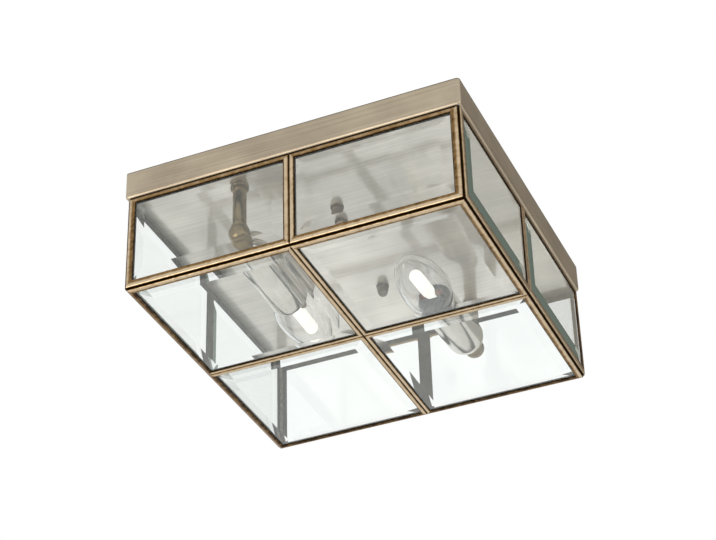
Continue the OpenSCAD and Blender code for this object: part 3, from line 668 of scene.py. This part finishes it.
class LANTERN_OT_strips(bpy.types.Operator):
    """Fold a mitred channel strip round each of the twelve panes"""
    bl_idname = "lantern.strips"
    bl_label = "Channel Strips"

    def execute(self, context):
        for i, panel in enumerate(PANELS):
            add_piece(panel + "_strips", folded_strips(i, context.scene.lantern_cage),
                      [panel + "_frame"], ["strip", "groove", "flange"])
        return {"FINISHED"}


class LANTERN_OT_panes(bpy.types.Operator):
    """Glaze the cage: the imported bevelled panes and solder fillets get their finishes"""
    bl_idname = "lantern.panes"
    bl_label = "Panes and Solder"

    def execute(self, context):
        for panel in PANELS:
            dress(panel + "_pane", "pane")
        dress("solder_seams", "solder")
        return {"FINISHED"}


# ---------------------------------------------------------------- arms and lampholders

def stem_tube(side, sizes, plate):
    """The stem: a tube with a plain shank, threaded from the top face of the plate up."""
    outer, bore = sizes.stem_diameter / 2, sizes.stem_bore / 2
    low, high = (corner[2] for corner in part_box("stem_" + side))
    outline = [(bore, low), (outer, low), (outer, plate - 0.1 * MM)]
    outline += thread_outline(outer - 0.35 * MM, outer, plate, high - 0.3 * MM, 1 * MM)
    outline += [(outer - 0.6 * MM, high), (bore, high)]
    bm = bmesh.new()
    lathe(bm, outline, 64, 0, lamp_place(side, knuckle=False), closed=True)
    return bm


def collar_outline(sizes):
    """The collar is a thin turned washer with a rounded rim and a waist under it."""
    stem = sizes.stem_diameter / 2
    low, high = (corner[2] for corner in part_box("stem_collars"))
    reach = span("stem_collars").x / 2 - abs(middle("stem_left").x)
    bore, round_r = stem + 0.05 * MM, 0.55 * MM
    rim = arc((reach - round_r, high - 0.75 * MM), (round_r, round_r), 90, -90, 6)
    waist = arc((stem + 1.1 * MM, low), (0.5 * MM, 0.8 * MM), 90, 20, 4)
    return [(bore, high), (reach - 0.5 * MM, high)] + rim[1:] + waist + [(bore, low)]


def knuckle(side, sizes):
    """The ball with its neck and threaded nipple towards the cover, and the lock ring where
    the stem enters it."""
    place = lamp_place(side, sizes.droop)
    ball = sizes.ball_diameter / 2
    bm = bmesh.new()
    lathe(bm, [(0, -ball)] + arc((0, 0), (ball, ball), -84, 84, 28) + [(0, ball)], 72, 0, place)

    # The neck ends just short of the hole in the cover's round end.
    cover = sizes.cover_diameter / 2
    neck = sizes.cover_end - math.sqrt(cover ** 2 - sizes.cover_hole ** 2) - 0.1 * MM
    neck_bore, neck_r, sunk = 3 * MM, 5 * MM, ball - 3 * MM
    lathe(bm, [(neck_bore, sunk), (neck_r, sunk), (neck_r, neck - 0.2 * MM),
               (4.8 * MM, neck), (neck_bore, neck)], 64, 0, place, closed=True)

    nipple_bore, nipple_r, nipple_end = 2.6 * MM, 4 * MM, sizes.cover_end - 4 * MM
    lathe(bm, [(nipple_bore, ball - 2 * MM)]
          + thread_outline(3.7 * MM, nipple_r, neck - 1 * MM, sizes.cover_end - 4.2 * MM, 1 * MM)
          + [(nipple_bore, nipple_end)], 64, 0, place, closed=True)

    stem = sizes.stem_diameter / 2
    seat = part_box("stem_" + side)[0][2] - place.translation.z
    lathe(bm, [(stem - 0.2 * MM, seat + 0.4 * MM), (stem + 0.9 * MM, seat + 0.9 * MM)]
          + arc((stem + 0.7 * MM, seat + 1.6 * MM), (0.35 * MM, 0.4 * MM), -60, 90, 5)
          + [(stem - 0.2 * MM, seat + 2 * MM)], 64, 0,
          Matrix.Translation(place.translation), closed=True)
    return bm


class LANTERN_OT_arms(bpy.types.Operator):
    """Turn the stems, collars, knuckles and stem nuts"""
    bl_idname = "lantern.arms"
    bl_label = "Lamp Arms"

    def execute(self, context):
        sizes = context.scene.lantern_arm
        plate = -span("ceiling_pan").z + context.scene.lantern_pan.wall
        collars = bmesh.new()
        for side in SIDES:
            add_piece("stem_tube_" + side, stem_tube(side, sizes, plate), ["stem_" + side],
                      ["arm"])
            lathe(collars, collar_outline(sizes), 72, 0, lamp_place(side, knuckle=False),
                  closed=True)
            add_piece("knuckle_ball_" + side, knuckle(side, sizes), ["knuckle_" + side],
                      ["arm"])
        add_piece("collar_rings", collars, ["stem_collars"], ["arm"])
        add_softened("stem_lock_nuts", "stem_nuts", 0.3 * MM, "zinc")
        return {"FINISHED"}


def cover_outline(sizes):
    """The cover in section: a round end with a hole, a straight side and a rolled rim."""
    outer = sizes.cover_diameter / 2
    inner = outer - sizes.cover_wall
    end, rim, bead = sizes.cover_end, sizes.cover_rim, sizes.cover_wall / 2
    straight = rim - 3 * MM
    from_deg = -math.degrees(math.acos(sizes.cover_hole / outer))
    back_deg = -math.degrees(math.acos(sizes.cover_hole / inner))
    outline = arc((0, end), (outer, outer), from_deg, 0, 20)
    outline += [(outer, straight), (outer, rim - bead)]
    outline += arc((outer - bead, rim - bead), (bead, bead), 0, 180, 8)[1:]
    return outline + [(inner, straight)] + arc((0, end), (inner, inner), 0, back_deg, 20)


class LANTERN_OT_holders(bpy.types.Operator):
    """Spin the lampholder covers and mould the insulating bodies inside them"""
    bl_idname = "lantern.holders"
    bl_label = "Lampholders"

    def execute(self, context):
        sizes = context.scene.lantern_arm
        for side in SIDES:
            bm = bmesh.new()
            lathe(bm, cover_outline(sizes), 128, 0, lamp_place(side, sizes.droop), closed=True)
            add_piece("cover_shell_" + side, bm, ["holder_cover_" + side], ["cover"])
            add_softened("insert_body_" + side, "holder_insert_" + side, 0.3 * MM, "insert")
        add_softened("contact_studs", "holder_contacts", 0.2 * MM, "contact")
        return {"FINISHED"}


# ---------------------------------------------------------------- lamps

def candle_radius(s, neck, widest, total, belly):
    """Radius of the candle glass at s from its neck: a sine swells to the belly, and a
    flattened circle closes to the tip."""
    if s < belly:
        return neck + (widest - neck) * math.sin(math.pi / 2 * s / belly) ** 1.2
    return widest * max(0.0, 1 - ((s - belly) / (total - belly)) ** 2) ** 0.6


def candle_outline(neck, widest, total, belly, start):
    """Points from neck to tip, closer together towards the tip."""
    rise = [belly * k / 24 for k in range(24)]
    close = [belly + (total - belly) * math.sin(math.pi / 2 * k / 30) for k in range(31)]
    return [(candle_radius(s, neck, widest, total, belly), start + s) for s in rise + close]


def screw_cap(lamp, neck_at, place):
    """The rolled screw shell, its black insulator and the solder contact at the foot."""
    r = lamp.cap_diameter / 2
    foot = neck_at - lamp.cap_length
    bm = bmesh.new()
    lathe(bm, [(r - 1.6 * MM, foot + 3.4 * MM)]
          + thread_outline(r - 0.8 * MM, r, foot + 4.2 * MM, neck_at - 4 * MM, lamp.thread_pitch)
          + [(r - 0.2 * MM, neck_at - 3.6 * MM), (r - 0.1 * MM, neck_at), (r - 1 * MM, neck_at),
             (r - 1.6 * MM, foot + 4 * MM)], 96, 0, place, closed=True)
    cone = r - 1.2 * MM
    lathe(bm, [(0, foot + 1.2 * MM), (2.7 * MM, foot + 1.2 * MM), (cone, foot + 3.6 * MM),
               (cone, foot + 5 * MM), (0, foot + 5 * MM)], 64, 1, place)
    lathe(bm, [(0, foot)] + arc((1.6 * MM, foot + 0.7 * MM), (0.8 * MM, 0.7 * MM), -90, 0, 5)
          + [(2.4 * MM, foot + 1.3 * MM), (0, foot + 1.3 * MM)], 48, 2, place)
    return bm


def capsule(lamp, neck_at, place):
    """Capsule with a pip at its tip, its pinch, and two wires that stand on the cap."""
    r = lamp.capsule_diameter / 2
    tip = lamp.reach - lamp.capsule_gap
    foot = tip - lamp.capsule_length
    bm = bmesh.new()
    dome = arc((0, tip - r), (r, r * 0.93), 0, 76, 12)
    lathe(bm, [(0, foot), (r * 0.7, foot)]
          + arc((r * 0.7, foot + 0.3 * r), (0.3 * r, 0.3 * r), -90, 0, 5)
          + dome + [(0.5 * MM, tip - 0.2 * MM), (0, tip)], 64, 0, place)
    before = set(bm.verts)
    bmesh.ops.create_cube(bm, size=1)
    pinch = [v for v in bm.verts if v not in before]
    bmesh.ops.scale(bm, vec=(7 * MM, 2.6 * MM, 8 * MM), verts=pinch)
    edges = list({e for v in pinch for e in v.link_edges})
    bmesh.ops.bevel(bm, geom=edges, offset=0.6 * MM, segments=3, profile=0.5,
                    affect="EDGES", material=-1)
    settle(bm, before, 0, place @ Matrix.Translation((0, 0, foot - 3 * MM)))
    wire_r, wire_top, wire_off = 0.5 * MM, foot - 6 * MM, 2.2 * MM
    clip_off = 6 * MM
    for s in (-1, 1):
        lathe(bm, [(0, neck_at), (wire_r, neck_at), (wire_r, wire_top), (0, wire_top)], 16, 1,
              place @ Matrix.Translation((s * wire_off, 0, 0)))
        # Copper clip that folds round each side of the pinch.
        lathe(bm, arc((0, foot - 3.8 * MM), (2.9 * MM, 3.2 * MM), -90, 90, 12), 32, 2,
              place @ Matrix.Translation((s * clip_off, 0, 0)))
    return bm


class LANTERN_OT_lamps(bpy.types.Operator):
    """Blow the candle lamps, each with its screw cap and inner capsule"""
    bl_idname = "lantern.lamps"
    bl_label = "Candle Lamps"

    def execute(self, context):
        lamp = context.scene.lantern_lamp
        neck_at = lamp.reach - lamp.glass_length
        for side in SIDES:
            place = lamp_place(side, context.scene.lantern_arm.droop)
            glass = bmesh.new()
            lathe(glass, candle_outline(lamp.cap_diameter / 2, lamp.diameter / 2,
                                        lamp.glass_length, lamp.belly, neck_at), 128, 0, place)
            bulb = add_piece("candle_glass_" + side, glass, ["lamp_envelope_" + side],
                             ["bulb"], 180)
            wall = bulb.modifiers.new("Glass wall", "SOLIDIFY")
            wall.thickness = lamp.wall
            wall.offset = -1
            wall.use_even_offset = True
            add_piece("screw_cap_" + side, screw_cap(lamp, neck_at, place),
                      ["lamp_cap_" + side], ["contact", "vitrite", "solder"])
            add_piece("quartz_capsule_" + side, capsule(lamp, neck_at, place),
                      ["lamp_capsule_" + side], ["capsule", "contact", "clip"], 50)
        return {"FINISHED"}


# ---------------------------------------------------------------- fixings

class LANTERN_OT_nuts(bpy.types.Operator):
    """Finish the two dome nuts and their washers under the plate"""
    bl_idname = "lantern.nuts"
    bl_label = "Dome Nuts"

    def execute(self, context):
        for end in ("front", "back"):
            add_softened("dome_nut_" + end, "cap_nut_" + end, 0.35 * MM, "nut", 3)
        add_softened("dome_nut_washers", "cap_nut_washers", 0.2 * MM, "nut")
        return {"FINISHED"}


class LANTERN_OT_fixing(bpy.types.Operator):
    """Finish the ceiling strap, cut the stud threads and place the plain nuts"""
    bl_idname = "lantern.fixing"
    bl_label = "Ceiling Fixing"

    def execute(self, context):
        sizes = context.scene.lantern_fixing
        add_softened("strap_plate", "mounting_strap", sizes.edge, "zinc")
        add_softened("hex_nuts", "plain_nuts", 0.3 * MM, "zinc")
        low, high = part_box("strap_studs")
        head_width, head_height = 7 * MM, 2.4 * MM
        across, along = ((high[k] - low[k] - head_width) / 2 for k in (0, 1))
        r = sizes.stud_diameter / 2
        head = high[2] - head_height
        bm = bmesh.new()
        for s in (-1, 1):
            here = Matrix.Translation((-s * across, s * along, 0))
            thread = thread_outline(r - 0.3 * MM, r, low[2] + 0.5 * MM, head - 3 * MM,
                                    sizes.stud_pitch)
            lathe(bm, [(0, low[2]), (r - 0.5 * MM, low[2])] + thread + [(r, head), (0, head)],
                  40, 0, here)
            lathe(bm, [(0, head), (3.2 * MM, head)]
                  + arc((3.2 * MM, head + 0.3 * MM), (0.3 * MM, 0.3 * MM), -90, 0, 3)
                  + arc((2.6 * MM, high[2] - 0.9 * MM), (0.9 * MM, 0.9 * MM), 0, 90, 5)
                  + [(0, high[2])], 48, 0, here)
        add_piece("threaded_studs", bm, ["strap_studs"], ["zinc"])
        return {"FINISHED"}


class LANTERN_OT_wiring(bpy.types.Operator):
    """Finish the terminal block, its screws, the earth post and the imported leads"""
    bl_idname = "lantern.wiring"
    bl_label = "Wiring"

    def execute(self, context):
        add_softened("terminal_housing", "terminal_block", 0.4 * MM, "block")
        add_softened("clamp_screws", "terminal_screws", 0.2 * MM, "zinc")
        add_softened("earth_bolt", "earth_post", 0.4 * MM, "zinc")
        for node, finish in (("live_leads", "brown_wire"), ("neutral_leads", "blue_wire"),
                             ("earth_lead", "earth_wire")):
            dress(node, finish)
        return {"FINISHED"}


class LANTERN_OT_hinge(bpy.types.Operator):
    """Finish the hinge leaves, pin and rivets, and the two catch springs"""
    bl_idname = "lantern.hinge"
    bl_label = "Hinge and Catches"

    def execute(self, context):
        for node, width, finish in (("hinge_pan_leaf", 0.15, "hinge"),
                                    ("hinge_cage_leaf", 0.15, "hinge"),
                                    ("hinge_pin", 0.3, "contact"), ("hinge_rivets", 0.25, "hinge"),
                                    ("catch_springs", 0.08, "spring")):
            add_softened(node + "_finished", node, width * MM, finish)
        return {"FINISHED"}


# ---------------------------------------------------------------- stage

# The camera, fitted to the corners of the pan and the cage: metres, degrees, millimetres.
EYE, AIM = Vector((0.4506, -1.0987, -0.8438)), Vector((-0.0010, -0.0043, -0.0435))
ROLL_DEG = -1.77
SENSOR_MM, FOCAL_MM = 36, 100.485


def facing(place, target, axis):
    """Turn that makes an object's axis look from its place at a point."""
    return (Vector(target) - Vector(place)).to_track_quat(axis, "Y")


def soft_light(name, place, size, power, tint="#ffffff"):
    """A square soft box that looks at the middle of the lantern."""
    data = bpy.data.lights.new(name, "AREA")
    data.shape, data.size, data.energy, data.color = "SQUARE", size, power, hex_colour(tint)
    lamp = to_scene(name, data)
    lamp.location = place
    lamp.rotation_euler = facing(place, (0, 0, -0.05), "-Z").to_euler()


def stage_sheet(name, size, matrix, material):
    """A flat sheet of the studio."""
    bm = bmesh.new()
    bmesh.ops.create_grid(bm, x_segments=1, y_segments=1, size=0.5)
    bmesh.ops.scale(bm, vec=(*size, 1), verts=bm.verts)
    bmesh.ops.transform(bm, matrix=matrix, verts=bm.verts)
    sheet = to_scene(name, to_mesh(name, bm))
    sheet.data.materials.append(material)
    return sheet


def card(name, place, target, size, tone):
    """A grey studio card that only shows in reflections, also in those behind a pane."""
    material, tree = blank(name + " grey")
    depth = add_node(tree, "LightPath").outputs["Glossy Depth"]
    mirrored = add_node(tree, "Math", {0: depth, 1: 1.0}, operation="MINIMUM")
    clear = add_node(tree, "BsdfTransparent")
    glow = add_node(tree, "Emission", {"Color": rgba(tone), "Strength": 1.0})
    mix = add_node(tree, "MixShader", {0: mirrored, 1: clear, 2: glow})
    add_node(tree, "OutputMaterial", {"Surface": mix})
    turn = facing(place, target, "Z").to_matrix().to_4x4()
    board = stage_sheet(name, size, Matrix.Translation(place) @ turn, material)
    board.visible_camera = board.visible_diffuse = board.visible_shadow = False


def through_gloss(tree, path):
    """1 for what a polished face or a pane shows, where the background is white too."""
    return add_node(tree, "Math", {0: path.outputs["Is Glossy Ray"],
                                   1: path.outputs["Is Transmission Ray"]}, operation="MAXIMUM")


def floor_paint():
    """Pale floor paint, plain white in gloss and through glass."""
    material, tree = blank("Pale studio floor")
    seen = through_gloss(tree, add_node(tree, "LightPath"))
    paint = add_node(tree, "BsdfDiffuse", {"Color": rgba("#f4f4f2")})
    white = add_node(tree, "Emission", {"Strength": 1.0})
    mix = add_node(tree, "MixShader", {0: seen, 1: paint, 2: white})
    add_node(tree, "OutputMaterial", {"Surface": mix})
    return material


def studio_world():
    """White background for the camera, gloss and glass, over a softer light on the lantern."""
    world = bpy.data.worlds.new("Studio")
    world.use_nodes = True
    tree = world.node_tree
    tree.nodes.clear()
    path = add_node(tree, "LightPath")
    seen = add_node(tree, "Math", {0: path.outputs["Is Camera Ray"],
                                   1: through_gloss(tree, path)}, operation="MAXIMUM")
    soft = add_node(tree, "Background", {"Color": rgba("#ffffff"), "Strength": 0.6})
    white = add_node(tree, "Background", {"Color": rgba("#ffffff"), "Strength": 1.0})
    mix = add_node(tree, "MixShader", {0: seen, 1: soft, 2: white})
    add_node(tree, "OutputWorld", {"Surface": mix})
    return world


def stand_camera():
    """The camera at the photograph's viewing angle."""
    data = bpy.data.cameras.new("Camera")
    data.sensor_width = SENSOR_MM
    data.lens = FOCAL_MM
    data.clip_start = 0.05
    camera = to_scene("Camera", data)
    roll = math.radians(ROLL_DEG)
    ahead = (AIM - EYE).normalized()
    level = ahead.cross(Vector((0, 0, 1))).normalized()
    right = level * math.cos(roll) + level.cross(ahead) * math.sin(roll)
    up = right.cross(ahead)
    camera.matrix_world = Matrix.Translation(EYE) @ Matrix(
        (right, up, -ahead)).transposed().to_4x4()
    return camera


class LANTERN_OT_stage(bpy.types.Operator):
    """Set up the pale floor, the white background, the soft boxes and the camera"""
    bl_idname = "lantern.stage"
    bl_label = "Studio Stage"

    def execute(self, context):
        scene = context.scene
        scene.view_settings.view_transform = "Standard"
        floor = stage_sheet("floor", (8, 8), Matrix.Translation((0, 0, -1.5)), floor_paint())
        scene.world = studio_world()
        soft_light("Key box", (-0.75, -1.25, -1.3), 1.3, 13, "#fff6ea")
        soft_light("Fill box", (1.6, -0.9, -0.2), 1.4, 6)
        soft_light("Top box", (-0.4, 0.6, 1.6), 1.2, 5)
        # Stands at the back right above the level, where the right faces reflect it.
        card("Right card", (1.2, 1.55, 1.15), (1.2, 0, 1.15), (2.6, 2.5), "#a39d94")
        # Hangs where the upper flanks of the level front beads reflect it, as a dark ceiling.
        card("Ceiling card", (-0.45, 0.1, 1.2), (-0.45, 0.1, 0), (1.1, 1.3), "#40382e")
        scene.camera = stand_camera()
        return {"FINISHED"}


# ---------------------------------------------------------------- add-on

OPERATORS = (LANTERN_OT_stage, LANTERN_OT_pan, LANTERN_OT_strips, LANTERN_OT_panes,
             LANTERN_OT_arms, LANTERN_OT_holders, LANTERN_OT_lamps, LANTERN_OT_nuts,
             LANTERN_OT_fixing, LANTERN_OT_wiring, LANTERN_OT_hinge)


class LANTERN_PT_panel(bpy.types.Panel):
    """Sizes, colours and pieces of the lantern"""
    bl_idname = "LANTERN_PT_panel"
    bl_label = "Lantern"
    bl_space_type = "VIEW_3D"
    bl_region_type = "UI"
    bl_category = "Lantern"

    def draw(self, context):
        for name, group in GROUPS.items():
            box = self.layout.box()
            box.label(text=name.replace("lantern_", "").title())
            for prop in group.__annotations__:
                box.prop(getattr(context.scene, name), prop)
        for operator in OPERATORS:
            self.layout.operator(operator.bl_idname)


def register():
    for cls in (*GROUPS.values(), *OPERATORS, LANTERN_PT_panel):
        bpy.utils.register_class(cls)
    for name, group in GROUPS.items():
        setattr(bpy.types.Scene, name, PointerProperty(type=group))


def unregister():
    for name in GROUPS:
        delattr(bpy.types.Scene, name)
    for cls in (LANTERN_PT_panel, *OPERATORS[::-1], *list(GROUPS.values())[::-1]):
        bpy.utils.unregister_class(cls)


def main():
    """Builds every piece."""
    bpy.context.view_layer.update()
    register()
    make_finishes(bpy.context.scene.lantern_colours)
    for operator in OPERATORS:
        group, name = operator.bl_idname.split(".")
        getattr(getattr(bpy.ops, group), name)()


if __name__ == "__main__":
    main()
